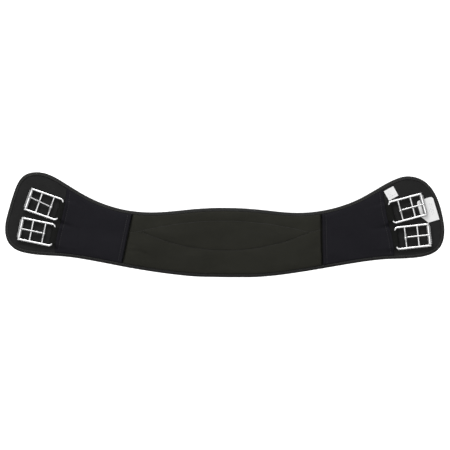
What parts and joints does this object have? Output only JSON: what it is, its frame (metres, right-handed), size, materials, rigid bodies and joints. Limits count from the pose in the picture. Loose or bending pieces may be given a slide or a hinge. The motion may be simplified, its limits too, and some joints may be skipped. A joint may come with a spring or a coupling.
{
  "type": "saddle girth",
  "caption": "Short contoured saddle girth: padded crescent band, quilted centre, bound edge and paired roller buckles on each wide end.",
  "frame": {"origin": "on the resting plane under the centre of the outline, contact side down", "axes": "+X along the girth, +Y across it towards the raised corners of the ends, +Z out of the outer face"},
  "size_m": [0.6431, 0.152, 0.0186],
  "materials": {
    "neoprene_liner": "matte perforated neoprene",
    "pad_facing": "matte close-knit facing on foam",
    "binding_tape": "soft woven edge tape",
    "side_cover_fabric": "bluish black knit with a soft sheen",
    "centre_fabric": "warm black padded neoprene knit",
    "webbing": "ribbed woven webbing",
    "stainless_steel": "polished stainless steel",
    "white_card": "plain white coated card"
  },
  "bodies": {
    "centre": {"contact_liner_centre": "neoprene_liner", "foam_core_centre": "pad_facing", "edge_binding_centre": "binding_tape", "centre_panel_upper": "centre_fabric", "centre_panel_lens": "centre_fabric", "centre_panel_lower": "centre_fabric", "centre_webbing": "webbing"},
    "left_wing": {"contact_liner_left": "neoprene_liner", "foam_core_left": "pad_facing", "edge_binding_left": "binding_tape", "side_cover_left": "side_cover_fabric", "left_upper_strap": "webbing", "left_lower_strap": "webbing"},
    "right_wing": {"contact_liner_right": "neoprene_liner", "foam_core_right": "pad_facing", "edge_binding_right": "binding_tape", "side_cover_right": "side_cover_fabric", "right_upper_strap": "webbing", "right_lower_strap": "webbing", "size_label": "white_card", "swing_tag": "white_card"},
    "left_upper_buckle_frame": {"left_upper_buckle_frame": "stainless_steel"},
    "left_upper_buckle_tongue": {"left_upper_buckle_tongue": "stainless_steel"},
    "left_upper_buckle_roller": {"left_upper_buckle_roller": "stainless_steel"},
    "left_lower_buckle_frame": {"left_lower_buckle_frame": "stainless_steel"},
    "left_lower_buckle_tongue": {"left_lower_buckle_tongue": "stainless_steel"},
    "left_lower_buckle_roller": {"left_lower_buckle_roller": "stainless_steel"},
    "right_upper_buckle_frame": {"right_upper_buckle_frame": "stainless_steel"},
    "right_upper_buckle_tongue": {"right_upper_buckle_tongue": "stainless_steel"},
    "right_upper_buckle_roller": {"right_upper_buckle_roller": "stainless_steel"},
    "right_lower_buckle_frame": {"right_lower_buckle_frame": "stainless_steel"},
    "right_lower_buckle_tongue": {"right_lower_buckle_tongue": "stainless_steel"},
    "right_lower_buckle_roller": {"right_lower_buckle_roller": "stainless_steel"}
  },
  "joints": [
    {"name": "left_flex", "type": "hinge", "parent": "centre", "child": "left_wing", "pos_m": [-0.14315, -0.025, 0], "axis": [-0.1961, -0.9806, 0], "range_deg": [0, 60]},
    {"name": "right_flex", "type": "hinge", "parent": "centre", "child": "right_wing", "pos_m": [0.1424, -0.025, 0], "axis": [-0.03, 0.9996, 0], "range_deg": [0, 60]},
    {"name": "left_upper_lift", "type": "hinge", "parent": "left_wing", "child": "left_upper_buckle_frame", "pos_m": [-0.2406, 0.0206, 0.0128], "axis": [0.3239, 0.9461, 0], "range_deg": [0, 90]},
    {"name": "left_upper_tongue_swing", "type": "hinge", "parent": "left_upper_buckle_frame", "child": "left_upper_buckle_tongue", "pos_m": [-0.25403, 0.0252, 0.0128], "axis": [0.3239, 0.9461, 0], "range_deg": [0, 95]},
    {"name": "left_upper_roller_spin", "type": "hinge", "parent": "left_upper_buckle_frame", "child": "left_upper_buckle_roller", "pos_m": [-0.28667, 0.03637, 0.0128], "axis": [0.3239, 0.9461, 0], "continuous": true},
    {"name": "left_lower_lift", "type": "hinge", "parent": "left_wing", "child": "left_lower_buckle_frame", "pos_m": [-0.2503, -0.0163, 0.0128], "axis": [0.1977, 0.9803, 0], "range_deg": [0, 90]},
    {"name": "left_lower_tongue_swing", "type": "hinge", "parent": "left_lower_buckle_frame", "child": "left_lower_buckle_tongue", "pos_m": [-0.26422, -0.01349, 0.0128], "axis": [0.1977, 0.9803, 0], "range_deg": [0, 95]},
    {"name": "left_lower_roller_spin", "type": "hinge", "parent": "left_lower_buckle_frame", "child": "left_lower_buckle_roller", "pos_m": [-0.29804, -0.00667, 0.0128], "axis": [0.1977, 0.9803, 0], "continuous": true},
    {"name": "right_upper_lift", "type": "hinge", "parent": "right_wing", "child": "right_upper_buckle_frame", "pos_m": [0.2426, 0.0201, 0.0128], "axis": [0.2656, -0.9641, 0], "range_deg": [0, 90]},
    {"name": "right_upper_tongue_swing", "type": "hinge", "parent": "right_upper_buckle_frame", "child": "right_upper_buckle_tongue", "pos_m": [0.25629, 0.02387, 0.0128], "axis": [0.2656, -0.9641, 0], "range_deg": [0, 95]},
    {"name": "right_upper_roller_spin", "type": "hinge", "parent": "right_upper_buckle_frame", "child": "right_upper_buckle_roller", "pos_m": [0.28955, 0.03303, 0.0128], "axis": [0.2656, -0.9641, 0], "continuous": true},
    {"name": "right_lower_lift", "type": "hinge", "parent": "right_wing", "child": "right_lower_buckle_frame", "pos_m": [0.2499, -0.0174, 0.0128], "axis": [0.1201, -0.9928, 0], "range_deg": [0, 90]},
    {"name": "right_lower_tongue_swing", "type": "hinge", "parent": "right_lower_buckle_frame", "child": "right_lower_buckle_tongue", "pos_m": [0.264, -0.01569, 0.0128], "axis": [0.1201, -0.9928, 0], "range_deg": [0, 95]},
    {"name": "right_lower_roller_spin", "type": "hinge", "parent": "right_lower_buckle_frame", "child": "right_lower_buckle_roller", "pos_m": [0.29825, -0.01155, 0.0128], "axis": [0.1201, -0.9928, 0], "continuous": true}
  ]
}
